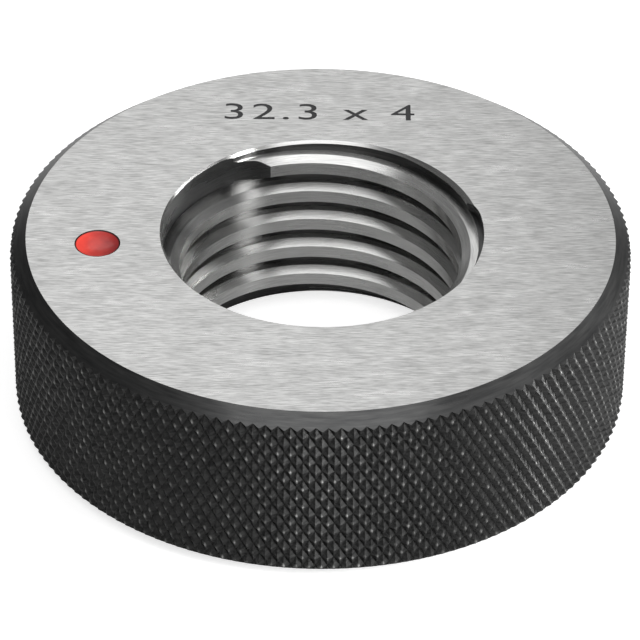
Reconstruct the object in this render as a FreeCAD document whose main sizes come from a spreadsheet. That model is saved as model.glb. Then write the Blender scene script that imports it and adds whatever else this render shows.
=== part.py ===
import FreeCAD, Part
import math
import os
import Sketcher

# A NO-GO thread ring gauge, in millimetres. Z = 0 is the face that it rests
# on, +Z runs up the bore, and azimuths count anticlockwise from +X.
os.makedirs("parts", exist_ok=True)
doc = FreeCAD.newDocument("thread_ring_gauge")
V = FreeCAD.Vector

# Sizes: each one is set here and nowhere else.
sizes = doc.addObject("Spreadsheet::Sheet", "Sizes")
values = [
    ("ring_dia", 71.0),             # over the knurl
    ("ring_width", 22.0),           # lapped face to lapped face
    ("rim_chamfer", 1.9),           # 45 degrees, at both rims
    ("knurl_count", 40),            # ridges round the rim, fewer than the real ones
    ("knurl_angle", 30.0),          # of the ridges, from the axis
    ("knurl_depth", 0.7),
    ("thread_pitch", 4.0),          # coarse, for a 36 mm thread
    ("crest_dia", 32.32),           # minor diameter of the NO-GO thread
    ("root_dia", 36.1),             # floor of the relief groove
    ("groove_mouth", 2.46),         # width of the groove at the crests
    ("relief_width", 1.3),          # its square relief at the root
    ("flank_angle", 30.0),          # each flank, from square to the axis
    ("crest_drop", 2.6),            # first crest under the top face, at +Y
    ("mouth_dia", 36.72),           # at the lapped faces
    ("mouth_bevel", 0.4),           # 45 degrees
    ("mouth_depth", 1.0),           # of the bore that clears the first groove
    ("start_azimuth", 131.0),       # end mill's middle at the thread's start
    ("finish_azimuth", 342.0),      # the same at the thread's lower end
    ("mill_sweep", 239.0),          # arc that the end mill runs at each end
    ("mill_drop", 3.9),             # its depth where the full thread ends
    ("mill_bite", 0.32),            # how far it goes behind the root
    ("mill_shift", 0.26),           # its circle lies off the axis, towards +X
    ("cutter_dia", 12.0),           # of the end mill
    ("mark_inset", 10.0),           # from the rim to the middle of the mark
    ("mark_azimuth", 186.5),
    ("mark_dia", 5.2),
    ("mark_depth", 0.9),
    ("mark_fill", 0.65),            # thickness of the enamel in its dimple
    ("mark_gap", 0.02),             # between the enamel and the wall
    ("run_out", 1.0),               # how far cuts run past the faces
]
for row, (name, value) in enumerate(values, start=1):
    sizes.set("A%d" % row, name)
    sizes.set("B%d" % row, "%g" % value)
    sizes.setAlias("B%d" % row, name)
doc.recompute()


def origin_feature(body, role):
    """Return the base plane or axis of a body by its role."""
    for feature in body.Origin.OriginFeatures:
        if feature.Role == role:
            return feature
    raise RuntimeError("no " + role)


def sketch_on(body, role, name):
    """Start a sketch on a base plane of a body."""
    sketch = body.newObject("Sketcher::SketchObject", name)
    sketch.AttachmentSupport = [(origin_feature(body, role), "")]
    sketch.MapMode = "FlatFace"
    return sketch


def tie(sketch, constraint, formula):
    """Add a constraint and let a formula of the sizes drive it."""
    index = sketch.addConstraint(constraint)
    sketch.setExpression("Constraints[%d]" % index, formula)


def tie_point(sketch, geometry, point, formulas):
    """Tie a point's signed distances from the sketch's origin to the sizes."""
    for kind, formula in zip(("DistanceX", "DistanceY"), formulas):
        value = sizes.evalExpression(formula)
        tie(sketch, Sketcher.Constraint(kind, -1, 1, geometry, point, value), formula)


def draw_polygon(sketch, corners):
    """Draw a closed polygon from pairs of formulas, one pair a corner."""
    places = []
    for x_formula, y_formula in corners:
        places.append(V(sizes.evalExpression(x_formula), sizes.evalExpression(y_formula), 0))
    count = len(corners)
    for i in range(count):
        sketch.addGeometry(Part.LineSegment(places[i], places[(i + 1) % count]), False)
    for i in range(count):
        sketch.addConstraint(Sketcher.Constraint("Coincident", i, 2, (i + 1) % count, 1))
        tie_point(sketch, i, 1, corners[i])


def draw_circle(sketch, middle, radius_formula):
    """Draw a circle round a middle given as a pair of formulas."""
    place = V(sizes.evalExpression(middle[0]), sizes.evalExpression(middle[1]), 0)
    radius = sizes.evalExpression(radius_formula)
    circle = sketch.addGeometry(Part.Circle(place, V(0, 0, 1), radius), False)
    tie(sketch, Sketcher.Constraint("Radius", circle, radius), radius_formula)
    tie_point(sketch, circle, 3, middle)


def polar(radius, azimuth):
    """Return the pair of formulas of a place on the XY plane."""
    turn = "((%s) * 1 deg)" % azimuth
    return ("(%s) * cos%s" % (radius, turn), "(%s) * sin%s" % (radius, turn))


# Names for the formulas that several features share.
OUTER = "Sizes.ring_dia / 2"
CREST = "Sizes.crest_dia / 2"
ROOT = "Sizes.root_dia / 2"
MOUTH = "Sizes.mouth_dia / 2"
WIDTH = "Sizes.ring_width"
CHAMFER = "Sizes.rim_chamfer"
BEVEL = "Sizes.mouth_bevel"
DEPTH = "Sizes.mouth_depth"
PAST = "Sizes.run_out"

turned = doc.addObject("PartDesign::Body", "turned_ring")

# The turned blank, with its rims chamfered and both mouths of its bore opened
# as far as the thread's root.
blank_sketch = sketch_on(turned, "XZ_Plane", "blank_sketch")
draw_polygon(blank_sketch, [
    (MOUTH, "0 * " + WIDTH),
    ("%s - %s" % (OUTER, CHAMFER), "0 * " + WIDTH),
    (OUTER, CHAMFER),
    (OUTER, "%s - %s" % (WIDTH, CHAMFER)),
    ("%s - %s" % (OUTER, CHAMFER), WIDTH),
    (MOUTH, WIDTH),
    ("%s - %s" % (MOUTH, BEVEL), "%s - %s" % (WIDTH, BEVEL)),
    ("%s - %s" % (MOUTH, BEVEL), "%s - %s" % (WIDTH, DEPTH)),
    (CREST, "%s - %s" % (WIDTH, DEPTH)),
    (CREST, DEPTH),
    ("%s - %s" % (MOUTH, BEVEL), DEPTH),
    ("%s - %s" % (MOUTH, BEVEL), BEVEL),
])
blank = turned.newObject("PartDesign::Revolution", "blank")
blank.Profile = blank_sketch
blank.ReferenceAxis = (origin_feature(turned, "Z_Axis"), [""])
blank.Angle = 360
turned.Tip = blank

# Both ends of the thread are milled back to its full form, so that it starts
# and stops bluntly. An end mill parallel to the bore follows the thread most
# of the way round: a helical cut, and the mill's own circle at its two ends.
reach = "(%s + Sizes.mill_bite)" % ROOT
climb = "(Sizes.thread_pitch * Sizes.mill_sweep / 360)"
ends = [
    ("top", "Sizes.start_azimuth", "(%s - Sizes.mill_drop)" % WIDTH, "(%s + %s)" % (WIDTH, PAST)),
    ("bottom", "(Sizes.finish_azimuth - Sizes.mill_sweep)",
     "(0 - %s - %s)" % (PAST, climb), "(Sizes.mill_drop - %s)" % climb),
]
for name, azimuth, low, high in ends:
    section = sketch_on(turned, "XZ_Plane", name + "_milling_sketch")
    section.AttachmentOffset = FreeCAD.Placement(V(0, 0, 0), FreeCAD.Rotation(V(0, 1, 0), 1))
    section.setExpression(".AttachmentOffset.Base.x", "Sizes.mill_shift")
    section.setExpression(".AttachmentOffset.Rotation.Angle", "%s * 1 deg" % azimuth)
    draw_polygon(section, [
        ("%s - Sizes.cutter_dia" % reach, low),
        (reach, low),
        (reach, high),
        ("%s - Sizes.cutter_dia" % reach, high),
    ])
    milling = turned.newObject("PartDesign::SubtractiveHelix", name + "_milling")
    milling.Profile = section
    milling.ReferenceAxis = (section, ["V_Axis"])
    milling.Mode = "pitch-height-angle"
    milling.setExpression("Pitch", "Sizes.thread_pitch")
    milling.setExpression("Height", climb)
    milling.LeftHanded = False
    turned.Tip = milling

    for end, turn, rise in (("start", "0", "0"), ("stop", "Sizes.mill_sweep", climb)):
        across, along = polar("%s - Sizes.cutter_dia / 2" % reach, "%s + %s" % (azimuth, turn))
        plunge = sketch_on(turned, "XY_Plane", "%s_%s_sketch" % (name, end))
        plunge.setExpression(".AttachmentOffset.Base.z", "%s + %s" % (low, rise))
        draw_circle(plunge, ("Sizes.mill_shift + " + across, along), "Sizes.cutter_dia / 2")
        mill = turned.newObject("PartDesign::Pocket", "%s_%s" % (name, end))
        mill.Profile = plunge
        mill.Reversed = True
        mill.setExpression("Length", "%s - %s" % (high, low))
        turned.Tip = mill

# The dimple that holds the NO-GO mark.
mark_place = polar("%s - Sizes.mark_inset" % OUTER, "Sizes.mark_azimuth")
mark_floor = "%s - Sizes.mark_depth" % WIDTH
dimple_sketch = sketch_on(turned, "XY_Plane", "dimple_sketch")
dimple_sketch.setExpression(".AttachmentOffset.Base.z", mark_floor)
draw_circle(dimple_sketch, mark_place, "Sizes.mark_dia / 2")
dimple = turned.newObject("PartDesign::Pocket", "dimple")
dimple.Profile = dimple_sketch
dimple.Reversed = True
dimple.setExpression("Length", "Sizes.mark_depth + %s" % PAST)
turned.Tip = dimple

# The helical thread. What is cut is the groove: two flanks and, behind them,
# the square relief that keeps the gauge off the root of the checked thread.
# It starts a turn under the lower face and leaves through the upper one.
groove_sketch = sketch_on(turned, "XZ_Plane", "groove_sketch")
flank_rise = "(Sizes.groove_mouth - Sizes.relief_width) / 2"
flank_end = "%s + %s / tan(Sizes.flank_angle * 1 deg)" % (CREST, flank_rise)
past_crest = "%s - %s" % (CREST, PAST)
past_rise = "(Sizes.groove_mouth / 2 + %s * tan(Sizes.flank_angle * 1 deg))" % PAST
lead_in = "(%s - Sizes.crest_drop + Sizes.thread_pitch * (0.25 - 6))" % WIDTH
draw_polygon(groove_sketch, [
    (past_crest, "%s - %s" % (lead_in, past_rise)),
    (flank_end, "%s - Sizes.relief_width / 2" % lead_in),
    (ROOT, "%s - Sizes.relief_width / 2" % lead_in),
    (ROOT, "%s + Sizes.relief_width / 2" % lead_in),
    (flank_end, "%s + Sizes.relief_width / 2" % lead_in),
    (past_crest, "%s + %s" % (lead_in, past_rise)),
])
thread = turned.newObject("PartDesign::SubtractiveHelix", "thread")
thread.Profile = groove_sketch
thread.ReferenceAxis = (origin_feature(turned, "Z_Axis"), [""])
thread.Mode = "pitch-height-angle"
thread.setExpression("Pitch", "Sizes.thread_pitch")
thread.setExpression("Height", "%s + 2 * Sizes.thread_pitch" % WIDTH)
thread.LeftHanded = False
turned.Tip = thread
doc.recompute()

# The diamond knurl. A sheet of flat facets is wrapped round the rim, from the
# tips of its pyramids to the valleys between them, and what stands out of it
# is taken off the turned ring.
count = int(sizes.knurl_count)
tip = sizes.ring_dia / 2
valley = tip - sizes.knurl_depth
level_rise = math.pi * tip / count / math.tan(math.radians(sizes.knurl_angle))
levels = math.ceil(sizes.ring_width / level_rise)
lowest = (sizes.ring_width - levels * level_rise) / 2


def knurl_point(level, half_step):
    """Return a tip of the knurl, or the valley corner between two tips."""
    radius = valley if (level + half_step) % 2 else tip
    turn = math.pi * half_step / count
    return V(radius * math.cos(turn), radius * math.sin(turn), lowest + level * level_rise)


def flat_face(corners):
    """Return the flat face inside a closed outline."""
    return Part.Face(Part.makePolygon(corners + corners[:1]))


facets = []
for level in range(levels):
    for half_step in range(2 * count):
        near = knurl_point(level, half_step)
        far = knurl_point(level, half_step + 1)
        near_up = knurl_point(level + 1, half_step)
        far_up = knurl_point(level + 1, half_step + 1)
        if (level + half_step) % 2:
            facets.append(flat_face([near, far, far_up]))
            facets.append(flat_face([near, far_up, near_up]))
        else:
            facets.append(flat_face([near, far, near_up]))
            facets.append(flat_face([far, far_up, near_up]))
for level in (0, levels):
    facets.append(flat_face([knurl_point(level, half_step) for half_step in range(2 * count)]))
shell = Part.makeShell(facets)
shell.sewShape()
knurl = doc.addObject("Part::Feature", "knurl")
knurl.Shape = Part.Solid(shell)

ring = doc.addObject("Part::Common", "ring_body")
ring.Base = turned
ring.Tool = knurl

# The enamel in that dimple, which ends a little under the face.
enamel = doc.addObject("PartDesign::Body", "red_enamel")
enamel_sketch = sketch_on(enamel, "XY_Plane", "enamel_sketch")
enamel_sketch.setExpression(".AttachmentOffset.Base.z", mark_floor)
draw_circle(enamel_sketch, mark_place, "Sizes.mark_dia / 2 - Sizes.mark_gap")
enamel_fill = enamel.newObject("PartDesign::Pad", "enamel_fill")
enamel_fill.Profile = enamel_sketch
enamel_fill.setExpression("Length", "Sizes.mark_fill")
enamel.Tip = enamel_fill
doc.recompute()

# Nothing is written unless every feature is sound.
for item in doc.Objects:
    if "Invalid" in item.State or "Error" in item.State:
        raise RuntimeError("%s is not sound: %s" % (item.Name, item.State))
    shape = getattr(item, "Shape", None)
    if shape is not None and (shape.isNull() or not shape.isValid()):
        raise RuntimeError("%s has no valid shape" % item.Name)

for node in (ring, enamel):
    if len(node.Shape.Solids) != 1:
        raise RuntimeError("%s holds %d solids" % (node.Name, len(node.Shape.Solids)))
    node.Label = node.Name
    node.Shape.exportStep("parts/%s.step" % node.Name)
    print("%s %.1f mm3" % (node.Name, node.Shape.Volume))
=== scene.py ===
import math

import bpy
from mathutils import Matrix, Vector


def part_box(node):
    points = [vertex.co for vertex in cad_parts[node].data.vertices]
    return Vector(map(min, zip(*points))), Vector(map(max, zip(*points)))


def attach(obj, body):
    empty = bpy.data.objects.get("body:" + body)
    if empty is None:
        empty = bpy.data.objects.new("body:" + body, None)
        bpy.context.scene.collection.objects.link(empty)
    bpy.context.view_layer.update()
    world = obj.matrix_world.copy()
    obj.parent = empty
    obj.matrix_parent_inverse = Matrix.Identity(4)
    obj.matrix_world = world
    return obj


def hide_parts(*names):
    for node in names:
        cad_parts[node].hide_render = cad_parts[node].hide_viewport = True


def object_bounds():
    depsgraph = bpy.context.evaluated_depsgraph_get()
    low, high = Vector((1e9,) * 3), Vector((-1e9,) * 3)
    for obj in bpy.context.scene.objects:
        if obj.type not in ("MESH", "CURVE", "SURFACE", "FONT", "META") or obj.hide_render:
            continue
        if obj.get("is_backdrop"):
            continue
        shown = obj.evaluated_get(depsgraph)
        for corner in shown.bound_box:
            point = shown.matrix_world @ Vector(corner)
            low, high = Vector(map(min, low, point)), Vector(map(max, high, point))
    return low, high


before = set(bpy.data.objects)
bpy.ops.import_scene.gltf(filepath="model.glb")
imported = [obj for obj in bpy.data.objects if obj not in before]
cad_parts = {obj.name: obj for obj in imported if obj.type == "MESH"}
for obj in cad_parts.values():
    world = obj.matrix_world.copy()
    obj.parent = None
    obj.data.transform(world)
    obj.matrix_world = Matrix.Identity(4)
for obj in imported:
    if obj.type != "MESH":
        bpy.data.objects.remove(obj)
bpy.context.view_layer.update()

MM = 0.001

# Viewpoint: the gauge lies on its lower lapped face and is seen from in front
# through a long lens, high enough that the far side of the thread shows.
LOWER_FACE, UPPER_FACE = (corner.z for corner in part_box("ring_body"))
LOOK_DOWN = 36.68  # degrees
CAMERA_ROLL = 0.5  # degrees
CAMERA_BACK = 385.1 * MM
CAMERA_HIGH = 274.1 * MM
camera_data = bpy.data.cameras.new("camera")
camera_data.sensor_width = 36
camera_data.lens = 233.12
camera = bpy.data.objects.new("camera", camera_data)
bpy.context.scene.collection.objects.link(camera)
tilt = Matrix.Rotation(math.radians(90 - LOOK_DOWN), 4, "X")
roll = Matrix.Rotation(math.radians(CAMERA_ROLL), 4, "Z")
camera.matrix_world = Matrix.Translation((0, -CAMERA_BACK, UPPER_FACE + CAMERA_HIGH)) @ tilt @ roll
bpy.context.scene.camera = camera


# Studio: a white table that runs on as a white background, a large soft box
# above and in front, a panel behind that the top face mirrors, and a smaller
# strip and a low card on the right that model the rim.
def hang_soft_box(name, place, width, depth, brightness):
    """Hang a soft box at a place, turned to the gauge; a brightness of 1 shows as white."""
    data = bpy.data.lights.new(name, "AREA")
    data.shape = "RECTANGLE"
    data.size = width
    data.size_y = depth
    data.energy = brightness * math.pi * width * depth
    lamp = bpy.data.objects.new(name, data)
    bpy.context.scene.collection.objects.link(lamp)
    lamp.location = place
    towards_gauge = Vector((0, 0, UPPER_FACE)) - Vector(place)
    lamp.rotation_euler = towards_gauge.to_track_quat("-Z", "Y").to_euler()


hang_soft_box("top_box", (0.01, -0.17, 0.5), width=0.46, depth=0.62, brightness=1.6)
hang_soft_box("back_panel", (-0.115, 0.66, 0.72), width=0.51, depth=0.7, brightness=1.08)
hang_soft_box("right_strip", (0.62, -0.37, 0.27), width=0.17, depth=0.55, brightness=18.0)
hang_soft_box("side_card", (0.66, 0.07, 0.12), width=0.5, depth=0.2, brightness=12.0)


def start_material(name, plain):
    """Start a material with plain values, and return it with its tree and its shader."""
    material = bpy.data.materials.new(name)
    material.use_nodes = True
    shader = material.node_tree.nodes["Principled BSDF"]
    for slot, value in plain.items():
        shader.inputs[slot].default_value = value
    return material, material.node_tree, shader


def add_node(tree, kind, feeds, **settings):
    """Add a node, set it up, and feed its inputs with sockets or plain values."""
    node = tree.nodes.new(kind)
    for key, value in settings.items():
        setattr(node, key, value)
    for slot, value in feeds.items():
        if isinstance(value, bpy.types.NodeSocket):
            tree.links.new(value, node.inputs[slot])
        else:
            node.inputs[slot].default_value = value
    return node


def reckon(tree, operation, *values):
    """Reckon with sockets or plain numbers, and return the result's socket."""
    return add_node(tree, "ShaderNodeMath", dict(enumerate(values)), operation=operation).outputs[0]


def spread(tree, value, start, end, low=0.0, high=1.0):
    """Return a socket that runs from low to high while the value runs from start to end."""
    return add_node(tree, "ShaderNodeMapRange", {
        "Value": value, "From Min": start, "From Max": end, "To Min": low, "To Max": high}).outputs[0]


TABLE_WIDTH = 6.0
TABLE_GLOW = 0.72
bpy.ops.object.select_all(action="DESELECT")
bpy.ops.mesh.primitive_plane_add(size=TABLE_WIDTH, location=(0, 0, LOWER_FACE))
table = bpy.context.object
table.name = "table"
table_paint, tree, shader = start_material("table_paint", {
    "Base Color": (0.66, 0.66, 0.66, 1), "Roughness": 0.8, "Emission Color": (1, 1, 1, 1)})
path = add_node(tree, "ShaderNodeLightPath", {})
glow = reckon(tree, "MULTIPLY", path.outputs["Is Camera Ray"], TABLE_GLOW)
tree.links.new(glow, shader.inputs["Emission Strength"])
table.data.materials.append(table_paint)
table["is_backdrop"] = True

ROOM_LIGHT = 0.2
ROOM_MIRRORED = 0.09
world = bpy.data.worlds.new("studio")
bpy.context.scene.world = world
world.use_nodes = True
tree = world.node_tree
background = tree.nodes["Background"]
background.inputs["Color"].default_value = (1, 1, 1, 1)
path = add_node(tree, "ShaderNodeLightPath", {})
room = spread(tree, path.outputs["Is Glossy Ray"], 0.0, 1.0, ROOM_LIGHT, ROOM_MIRRORED)
seen = reckon(tree, "MAXIMUM", path.outputs["Is Camera Ray"], room)
tree.links.new(seen, background.inputs["Strength"])

bpy.context.scene.view_settings.view_transform = "Standard"

# Ring: one piece of hardened steel. It is a turned blank with a rolled diamond
# knurl, both faces lapped flat, and the NO-GO thread ground into its bore. The
# rim and the milled ends of the thread stay black from hardening.
WIDTH = UPPER_FACE - LOWER_FACE
RIM_R = 35.5 * MM
RIM_CHAMFER = 1.9 * MM    # along the face
CHAMFER_DROP = 1.5 * MM   # down the rim
PAST = 1.0 * MM           # how far tools run past the faces and the rim
ROUND_FACETS = 384


def reckon_vector(tree, operation, *values):
    """Reckon with sockets or plain vectors, and return the node."""
    return add_node(tree, "ShaderNodeVectorMath", dict(enumerate(values)), operation=operation)


# Marks that a tool leaves, for every finish on the ring: fine lines that run
# along X of the place they are given, and patches where it cut heavier.
tool_marks = bpy.data.node_groups.new("tool_marks", "ShaderNodeTree")
tool_marks.interface.new_socket("Place", in_out="INPUT", socket_type="NodeSocketVector")
tool_marks.interface.new_socket("Lines", in_out="OUTPUT", socket_type="NodeSocketFloat")
tool_marks.interface.new_socket("Patches", in_out="OUTPUT", socket_type="NodeSocketFloat")
given = add_node(tool_marks, "NodeGroupInput", {}).outputs["Place"]
lines = add_node(tool_marks, "ShaderNodeTexNoise", {
    "Vector": given, "Scale": 1.0, "Detail": 3.0, "Roughness": 0.6})
broad = reckon_vector(tool_marks, "MULTIPLY", given, (0.3, 0.07, 0.07)).outputs[0]
patches = add_node(tool_marks, "ShaderNodeTexNoise", {"Vector": broad, "Scale": 1.0, "Detail": 2.0})
add_node(tool_marks, "NodeGroupOutput", {"Lines": lines.outputs[0], "Patches": patches.outputs[0]})


def straight_place(tree, line_length, line_width):
    """Return a socket that follows lines straight along X."""
    place = add_node(tree, "ShaderNodeTexCoord", {}).outputs["Object"]
    stretch = (1 / line_length, 1 / line_width, 1 / line_width)
    return reckon_vector(tree, "MULTIPLY", place, stretch).outputs[0]


def turned_place(tree, lines_round, line_width):
    """Return a socket that follows lines round the Z axis, and one for the radius."""
    lines_out = 0.6 / line_width
    lines_up = 1.3 / line_width
    place = add_node(tree, "ShaderNodeTexCoord", {}).outputs["Object"]
    height = add_node(tree, "ShaderNodeSeparateXYZ", {0: place}).outputs["Z"]
    flat = reckon_vector(tree, "MULTIPLY", place, (1, 1, 0)).outputs[0]
    radius = reckon_vector(tree, "LENGTH", flat).outputs["Value"]
    turn = reckon_vector(tree, "NORMALIZE", flat).outputs[0]
    turn = reckon_vector(tree, "MULTIPLY", turn, (lines_round, lines_round, 0)).outputs[0]
    turn = add_node(tree, "ShaderNodeSeparateXYZ", {0: turn})
    across = reckon(tree, "MULTIPLY_ADD", height, lines_up, reckon(tree, "MULTIPLY", radius, lines_out))
    marks = add_node(tree, "ShaderNodeCombineXYZ", {0: turn.outputs["X"], 1: across, 2: turn.outputs["Y"]})
    return marks.outputs[0], radius


def mix(tree, factor, first, second):
    """Mix two colours by a factor, and return the socket of what they give."""
    mixed = add_node(tree, "ShaderNodeMix", {"Factor": factor, "A": first, "B": second}, data_type="RGBA")
    return mixed.outputs[2]


def finish_steel(tree, shader, place, dark, light, smooth, rough, relief):
    """Work tool marks into a steel's roughness and surface, and return its colour."""
    marks = add_node(tree, "ShaderNodeGroup", {}, node_tree=tool_marks)
    tree.links.new(place, marks.inputs["Place"])
    bump = add_node(tree, "ShaderNodeBump", {
        "Height": marks.outputs["Lines"], "Strength": 1.0, "Distance": relief})
    tree.links.new(bump.outputs[0], shader.inputs["Normal"])
    # noise seldom leaves the ends that it is spread from here
    dulled = spread(tree, marks.outputs["Patches"], 0.3, 0.7, smooth, rough)
    tree.links.new(dulled, shader.inputs["Roughness"])
    return mix(tree, spread(tree, marks.outputs["Lines"], 0.25, 0.75), (*dark, 1), (*light, 1))


# both faces are lapped to and fro along X
lapped_steel, tree, shader = start_material("lapped_steel", {"Metallic": 1.0, "Anisotropic": 0.6})
place = straight_place(tree, line_length=1.7 * MM, line_width=0.13 * MM)
colour = finish_steel(
    tree, shader, place, dark=(0.36, 0.36, 0.356), light=(0.88, 0.88, 0.87),
    smooth=0.26, rough=0.38, relief=0.003 * MM)
tree.links.new(colour, shader.inputs["Base Color"])
across = add_node(tree, "ShaderNodeCombineXYZ", {"Y": 1.0})
tree.links.new(across.outputs[0], shader.inputs["Tangent"])


def grind(name, dark, light):
    """Return a steel that is ground round the bore and glints along it."""
    material, tree, shader = start_material(name, {
        "Metallic": 1.0, "Anisotropic": 0.95, "Anisotropic Rotation": 0.25})
    place = turned_place(tree, lines_round=5, line_width=0.16 * MM)[0]
    colour = finish_steel(tree, shader, place, dark, light, smooth=0.22, rough=0.3, relief=0.001 * MM)
    tree.links.new(colour, shader.inputs["Base Color"])
    tree.links.new(add_node(tree, "ShaderNodeTangent", {}, axis="Z").outputs[0], shader.inputs["Tangent"])
    return material


# the thread and its mouths are ground; the root gets a darker copy of the ground steel, painted shade for
# the deep groove that the crests hide
ground_steel = grind("ground_steel", dark=(0.56, 0.56, 0.55), light=(0.86, 0.86, 0.85))
root_shade_steel = grind("root_shade_steel", dark=(0.06, 0.06, 0.06), light=(0.12, 0.12, 0.118))

# the chamfers and the milled ends of the thread keep the black of hardening
black_steel, tree, shader = start_material("black_steel", {"Metallic": 0.85})
place = turned_place(tree, lines_round=9, line_width=0.13 * MM)[0]
colour = finish_steel(
    tree, shader, place, dark=(0.05, 0.051, 0.052), light=(0.11, 0.11, 0.109),
    smooth=0.24, rough=0.36, relief=0.002 * MM)
tree.links.new(colour, shader.inputs["Base Color"])

# the knurl is blacker still, and its tips are worn bright here and there
WEAR_STARTS = 0.16 * MM   # under the tips
WEAR_FULL = 0.02 * MM
rolled_steel, tree, shader = start_material("rolled_steel", {"Metallic": 0.85})
place, radius = turned_place(tree, lines_round=40, line_width=0.3 * MM)
colour = finish_steel(
    tree, shader, place, dark=(0.012, 0.0122, 0.0125), light=(0.062, 0.062, 0.061),
    smooth=0.26, rough=0.4, relief=0.004 * MM)
chance = add_node(tree, "ShaderNodeTexNoise", {
    "Vector": add_node(tree, "ShaderNodeTexCoord", {}).outputs["Object"], "Scale": 700.0, "Detail": 2.0})
chance = spread(tree, chance.outputs[0], 0.42, 0.68)
worn = reckon(tree, "MULTIPLY", spread(tree, radius, RIM_R - WEAR_STARTS, RIM_R - WEAR_FULL), chance)
tree.links.new(mix(tree, worn, colour, (0.4, 0.4, 0.39, 1)), shader.inputs["Base Color"])


def pick(piece):
    """Select one piece alone and make it the active one."""
    bpy.ops.object.select_all(action="DESELECT")
    bpy.context.view_layer.objects.active = piece
    piece.select_set(True)


def edit(piece):
    """Open one piece in edit mode with all of it selected."""
    pick(piece)
    bpy.ops.object.mode_set(mode="EDIT")
    bpy.ops.mesh.select_mode(type="VERT")
    bpy.ops.mesh.select_all(action="SELECT")


def apply_modifier(piece, kind, **settings):
    """Give one piece a modifier and apply it."""
    pick(piece)
    modifier = piece.modifiers.new("step", kind)
    for key, value in settings.items():
        setattr(modifier, key, value)
    bpy.ops.object.modifier_apply(modifier="step")


# points nearer than this are one, on the work, at a tool's seams and in fine outlines
WELD = 5e-7
SEAM = 1e-6
FINE_SEAM = 1e-7


def machine(work, tool, how="DIFFERENCE", overlaps=False):
    """Cut the work with a tool that leaves its own finish, and put the tool away."""
    apply_modifier(
        work, "BOOLEAN", object=tool, operation=how, solver="EXACT", use_self=overlaps,
        material_mode="TRANSFER")
    bpy.data.objects.remove(tool)
    edit(work)
    bpy.ops.mesh.remove_doubles(threshold=WELD)
    bpy.ops.mesh.dissolve_degenerate(threshold=WELD)
    bpy.ops.object.mode_set(mode="OBJECT")


# the blank, with its rim left proud for the knurl
bpy.ops.object.select_all(action="DESELECT")
bpy.ops.mesh.primitive_cylinder_add(
    vertices=ROUND_FACETS, radius=RIM_R + PAST, depth=WIDTH, location=(0, 0, LOWER_FACE + WIDTH / 2))
ring = bpy.context.object
ring.name = "knurled_ring"
bpy.ops.object.transform_apply(location=True)
edit(ring)
bpy.ops.mesh.select_mode(type="EDGE")
bpy.ops.mesh.select_all(action="DESELECT")
bpy.ops.object.mode_set(mode="OBJECT")
for edge in ring.data.edges:
    ends = [ring.data.vertices[i].co.z for i in edge.vertices]
    edge.select = abs(ends[0] - ends[1]) < WIDTH / 2
bpy.ops.object.mode_set(mode="EDIT")
bpy.ops.mesh.bevel(offset=RIM_CHAMFER + PAST, offset_type="OFFSET", segments=1, affect="EDGES")
bpy.ops.object.mode_set(mode="OBJECT")
drop = (RIM_CHAMFER + PAST) * CHAMFER_DROP / RIM_CHAMFER
for vertex in ring.data.vertices:
    if vertex.co.xy.length > RIM_R:
        upper = vertex.co.z > LOWER_FACE + WIDTH / 2
        vertex.co.z = UPPER_FACE - drop if upper else LOWER_FACE + drop
ring.data.materials.append(black_steel)
ring.data.materials.append(lapped_steel)
for face in ring.data.polygons:
    face.material_index = 1 if abs(face.normal.z) > 0.9 else 0


def bore(place, radius, depth, finish, facets):
    """Bore a round hole into the ring, half the depth to each side of a place."""
    bpy.ops.mesh.primitive_cylinder_add(vertices=facets, radius=radius, depth=depth, location=place)
    tool = bpy.context.object
    tool.data.materials.append(finish)
    machine(ring, tool)


# both mouths: a bevel, and a short bore that clears the first groove. The
# lower bore is left black.
MOUTH_R = 18.36 * MM
MOUTH_BEVEL = 0.4 * MM
MOUTH_DEEP = 1.0 * MM
BEVEL_PAST = 0.7 * MM
for height, side, finish in ((UPPER_FACE, 1, ground_steel), (LOWER_FACE, -1, black_steel)):
    bpy.ops.mesh.primitive_cone_add(
        vertices=ROUND_FACETS, radius1=MOUTH_R - side * BEVEL_PAST, radius2=MOUTH_R + side * BEVEL_PAST,
        depth=2 * BEVEL_PAST, location=(0, 0, height))
    bevel = bpy.context.object
    bevel.data.materials.append(ground_steel)
    machine(ring, bevel)
    bore((0, 0, height), MOUTH_R - MOUTH_BEVEL, 2 * MOUTH_DEEP, finish, ROUND_FACETS)


def draw_profile(place, moves, closed=False):
    """Draw a profile upright on XZ from a place, one move out and up after another."""
    bpy.ops.mesh.primitive_plane_add(size=MM)
    profile = bpy.context.object
    edit(profile)
    bpy.ops.mesh.merge(type="CENTER")
    bpy.ops.transform.translate(value=place)
    for out, up in moves:
        bpy.ops.mesh.extrude_vertices_move(TRANSFORM_OT_translate={"value": (out, 0, up)})
    if closed:
        bpy.ops.mesh.select_all(action="SELECT")
        bpy.ops.mesh.remove_doubles(threshold=SEAM)
    bpy.ops.object.mode_set(mode="OBJECT")
    return profile


def trim(tool):
    """Close a tool's seams and cut it off flat, a little past both faces of the ring."""
    edit(tool)
    bpy.ops.mesh.remove_doubles(threshold=SEAM)
    for height, side in ((LOWER_FACE - PAST, -1), (UPPER_FACE + PAST, 1)):
        bpy.ops.mesh.select_all(action="SELECT")
        bpy.ops.mesh.bisect(
            plane_co=(0, 0, height), plane_no=(0, 0, side), use_fill=True, clear_outer=True,
            threshold=FINE_SEAM)
    bpy.ops.mesh.select_all(action="SELECT")
    bpy.ops.mesh.normals_make_consistent(inside=False)
    bpy.ops.object.mode_set(mode="OBJECT")


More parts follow.
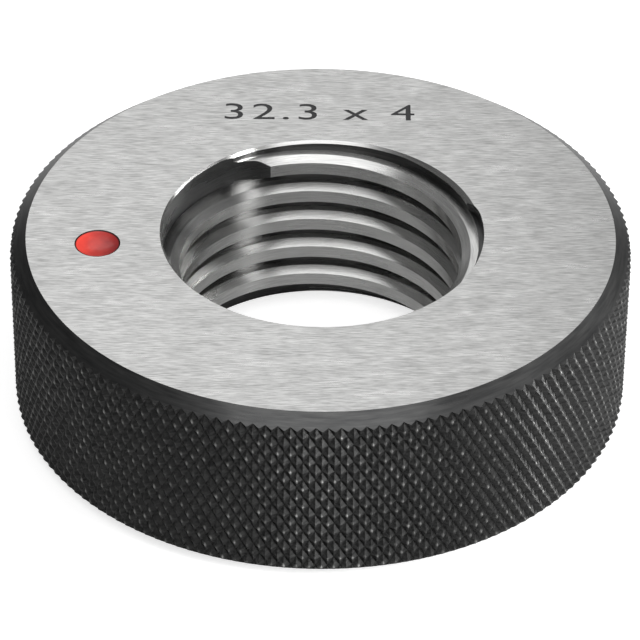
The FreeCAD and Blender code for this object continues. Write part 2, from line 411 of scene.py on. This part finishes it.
# the thread: its profile, drawn over one pitch from the middle of a crest. The
# turning starts at +X, a quarter turn before +Y, where the first crest is set.
PITCH = 4.0 * MM
CREST_R = 16.16 * MM
ROOT_R = 18.05 * MM
GROOVE_MOUTH = 2.46 * MM
GROOVE_FLOOR = 1.3 * MM
FLANK = math.radians(30)
FIRST_CREST = 2.6 * MM    # under the upper face
TURNS_UNDER = 7.25        # from the first crest down to where the turning starts
THREAD_TURNS = 9
FLANK_RISE = (GROOVE_MOUTH - GROOVE_FLOOR) / 2
FLANK_RUN = FLANK_RISE / math.tan(FLANK)
HALF_CREST = (PITCH - GROOVE_MOUTH) / 2
thread = draw_profile((CREST_R, 0, UPPER_FACE - FIRST_CREST - PITCH * TURNS_UNDER), (
    (0, HALF_CREST), (FLANK_RUN, FLANK_RISE), (ROOT_R - CREST_R - FLANK_RUN, 0), (0, GROOVE_FLOOR),
    (CREST_R + FLANK_RUN - ROOT_R, 0), (-FLANK_RUN, FLANK_RISE), (0, HALF_CREST)))
apply_modifier(
    thread, "SCREW", axis="Z", steps=192, render_steps=192, iterations=THREAD_TURNS, screw_offset=PITCH)
thread.data.materials.append(ground_steel)
thread.data.materials.append(root_shade_steel)
trim(thread)
# faces at the root take the darker steel, which is painted shade
for face in thread.data.polygons:
    at_root = math.hypot(face.center.x, face.center.y) > ROOT_R - 0.05 * MM
    face.material_index = 1 if at_root else 0
machine(ring, thread)

# both ends of the thread are milled back to its full form: an end mill follows
# the thread most of the way round, and leaves its own circle at both ends
MILL_R = 6.0 * MM
MILL_REACH = 18.37 * MM   # to the wall that it leaves
MILL_SHIFT = 0.26 * MM    # of its circle, towards +X
MILL_BITE = 0.01 * MM     # deeper where the mill stands than where it runs
MILL_DROP = 3.9 * MM      # its depth where the full thread ends
MILL_START = math.radians(131)
MILL_FINISH = math.radians(342)
MILL_SWEEP = math.radians(239)
climb = PITCH * MILL_SWEEP / (2 * math.pi)
for start, low, high in (
    (MILL_START, UPPER_FACE - MILL_DROP, UPPER_FACE + PAST),
    (MILL_FINISH - MILL_SWEEP, LOWER_FACE - PAST - climb, LOWER_FACE + MILL_DROP - climb),
):
    milling = draw_profile((MILL_REACH - 2 * MILL_R, 0, low), (
        (2 * MILL_R, 0), (0, high - low), (-2 * MILL_R, 0), (0, low - high)), closed=True)
    apply_modifier(
        milling, "SCREW", axis="Z", angle=MILL_SWEEP, steps=256, render_steps=256, screw_offset=climb)
    milling.data.materials.append(black_steel)
    edit(milling)
    bpy.ops.mesh.fill_holes(sides=0)
    bpy.ops.mesh.normals_make_consistent(inside=False)
    bpy.ops.object.mode_set(mode="OBJECT")
    milling.location.x = MILL_SHIFT
    milling.rotation_euler.z = start
    bpy.ops.object.transform_apply(location=True, rotation=True)
    machine(ring, milling)
    for turn, rise in ((start, 0), (start + MILL_SWEEP, climb)):
        reach = MILL_REACH - MILL_R + MILL_BITE
        place = (MILL_SHIFT + reach * math.cos(turn), reach * math.sin(turn), (low + high) / 2 + rise)
        bore(place, MILL_R, high - low, black_steel, facets=128)

# the dimple for the enamel
DIMPLE_R = 2.6 * MM
DIMPLE_DEEP = 0.9 * MM
DIMPLE_TURN = math.radians(186.5)
DIMPLE_REACH = 25.5 * MM
place = (DIMPLE_REACH * math.cos(DIMPLE_TURN), DIMPLE_REACH * math.sin(DIMPLE_TURN), UPPER_FACE)
bore(place, DIMPLE_R, 2 * DIMPLE_DEEP, black_steel, facets=128)

# the size etched into the upper face, as plain numbers. Their mesh overlaps
# itself in places, which the cut has to be told.
ETCH_PLACE = Vector((-0.37, 24.05, 0)) * MM
ETCH_WIDTH = 22.5 * MM
ETCH_TALL = 3.35 * MM
ETCH_DEEP = 0.06 * MM
etched_steel = start_material("etched_steel", {
    "Base Color": (0.045, 0.045, 0.047, 1), "Roughness": 0.55, "Metallic": 0.3})[0]
bpy.ops.object.select_all(action="DESELECT")
bpy.ops.object.text_add()
text = bpy.context.object.data
text.body = "32.3 x 4"
text.align_x = "CENTER"
text.align_y = "CENTER"
text.resolution_u = 4
text.space_character = 1.15
text.extrude = 0.5
bpy.ops.object.convert(target="MESH")
etching = bpy.context.object
etching.dimensions = (ETCH_WIDTH, ETCH_TALL, 2 * ETCH_DEEP)
etching.location = ETCH_PLACE + Vector((0, 0, UPPER_FACE))
bpy.ops.object.transform_apply(location=True, scale=True)
edit(etching)
bpy.ops.mesh.remove_doubles(threshold=FINE_SEAM)
bpy.ops.mesh.normals_make_consistent(inside=False)
bpy.ops.object.mode_set(mode="OBJECT")
etching.data.materials.append(etched_steel)
machine(ring, etching, overlaps=True)

# the knurl: one pyramid and its neighbour half a step on, repeated as a flat
# sheet that is then rolled round the rim. The wheel that cuts its left-hand
# grooves bites deeper, so the other grooves rise to a saddle between tips. The
# pyramid starts as an octagon: its tip stays, four points become the corners,
# and the four between them the middles of the sides.
KNURL_COUNT = 161
KNURL_ROWS = 12
ROWS_UNDER = 1.3          # rows that start under the lower face
KNURL_ANGLE = math.radians(30)
KNURL_DEEP = 0.47 * MM
KNURL_SADDLE = 0.35       # of that depth
step = 2 * math.pi * RIM_R / KNURL_COUNT
row = step / math.tan(KNURL_ANGLE)
bpy.ops.mesh.primitive_circle_add(vertices=8, radius=1, fill_type="NGON")
knurl = bpy.context.object
knurl.data.materials.append(rolled_steel)
edit(knurl)
bpy.ops.mesh.poke(offset=KNURL_DEEP)
bpy.ops.object.mode_set(mode="OBJECT")
for vertex in knurl.data.vertices:
    x, y = vertex.co.xy
    from_tip = abs(x) + abs(y)
    if from_tip > 0.5:
        saddle = KNURL_SADDLE * KNURL_DEEP if x * y < -0.1 else 0
        vertex.co = (x * step / 2 / from_tip, y * row / 2 / from_tip, saddle)
edit(knurl)
bpy.ops.mesh.duplicate_move(TRANSFORM_OT_translate={"value": (step / 2, row / 2, 0)})
bpy.ops.object.mode_set(mode="OBJECT")
for offset, count in (((step, 0, 0), KNURL_COUNT), ((0, row, 0), KNURL_ROWS)):
    apply_modifier(
        knurl, "ARRAY", count=count, use_relative_offset=False, use_constant_offset=True,
        constant_offset_displace=offset)
for vertex in knurl.data.vertices:
    turn = vertex.co.x / RIM_R
    radius = RIM_R - KNURL_DEEP + vertex.co.z
    height = LOWER_FACE + vertex.co.y - ROWS_UNDER * row
    vertex.co = (radius * math.cos(turn), radius * math.sin(turn), height)
trim(knurl)
machine(ring, knurl, "INTERSECT")

# edges stay crisp, and the lapped faces stay flat
pick(ring)
bpy.ops.object.shade_smooth_by_angle(angle=math.radians(18))
for face in ring.data.polygons:
    if abs(face.normal.z) > 0.9999:
        face.use_smooth = False
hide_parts("ring_body")
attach(ring, "root")

# Mark: red enamel in the dimple, which says that this is the NO-GO gauge. It
# is dripped in and baked, so it is glossy, and it sinks to a hollow as it sets.
MARK_LOW, MARK_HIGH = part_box("red_enamel")
MARK_X = (MARK_LOW.x + MARK_HIGH.x) / 2
MARK_Y = (MARK_LOW.y + MARK_HIGH.y) / 2
ENAMEL_R = 2.5 * MM
ENAMEL_TOP = UPPER_FACE - 0.04 * MM   # its rim
ENAMEL_HOLLOW = 0.5 * MM  # its middle, under the rim
ENAMEL_EDGE = 0.14 * MM   # width of its dark edge
bpy.ops.object.select_all(action="DESELECT")
bpy.ops.mesh.primitive_cylinder_add(
    vertices=96, radius=ENAMEL_R, depth=ENAMEL_TOP - MARK_LOW.z,
    location=(MARK_X, MARK_Y, (ENAMEL_TOP + MARK_LOW.z) / 2))
enamel = bpy.context.object
enamel.name = "red_mark"
bpy.ops.object.transform_apply(location=True)
ball_radius = (ENAMEL_R ** 2 + ENAMEL_HOLLOW ** 2) / (2 * ENAMEL_HOLLOW)
bpy.ops.mesh.primitive_uv_sphere_add(
    segments=96, ring_count=192, radius=ball_radius,
    location=(MARK_X, MARK_Y, ENAMEL_TOP + ball_radius - ENAMEL_HOLLOW))
ball = bpy.context.object

# the red is cloudy, it is painted darker to the right as shade in the hollow, and its edge is dark
enamel_paint, tree, shader = start_material("enamel_paint", {
    "Roughness": 0.35, "Coat Weight": 0.25, "Coat Roughness": 0.12})
coordinates = add_node(tree, "ShaderNodeTexCoord", {}).outputs["Object"]
clouds = add_node(tree, "ShaderNodeTexNoise", {
    "Vector": coordinates, "Scale": 900.0, "Detail": 3.0}).outputs[0]
place = reckon_vector(tree, "SUBTRACT", coordinates, (MARK_X, MARK_Y, UPPER_FACE)).outputs[0]
across = add_node(tree, "ShaderNodeSeparateXYZ", {0: place}).outputs["X"]
from_middle = reckon_vector(tree, "LENGTH", place).outputs["Value"]
# painted shade: on top of the clouds, the red darkens from the left of the mark to its right
bright = reckon(tree, "MULTIPLY_ADD", clouds, 0.6, spread(tree, across, -ENAMEL_R, ENAMEL_R, 0.7, -0.3))
red = mix(tree, bright, (0.33, 0.012, 0.014, 1), (0.8, 0.062, 0.042, 1))
dark = spread(tree, from_middle, ENAMEL_R - ENAMEL_EDGE, ENAMEL_R)
tree.links.new(mix(tree, dark, red, (0.03, 0.008, 0.008, 1)), shader.inputs["Base Color"])
ripple = add_node(tree, "ShaderNodeBump", {"Height": clouds, "Strength": 1.0, "Distance": 0.015 * MM})
tree.links.new(ripple.outputs[0], shader.inputs["Normal"])
enamel.data.materials.append(enamel_paint)
ball.data.materials.append(enamel_paint)
machine(enamel, ball)
pick(enamel)
bpy.ops.object.shade_smooth_by_angle(angle=math.radians(12))
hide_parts("red_enamel")
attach(enamel, "root")

low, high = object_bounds()
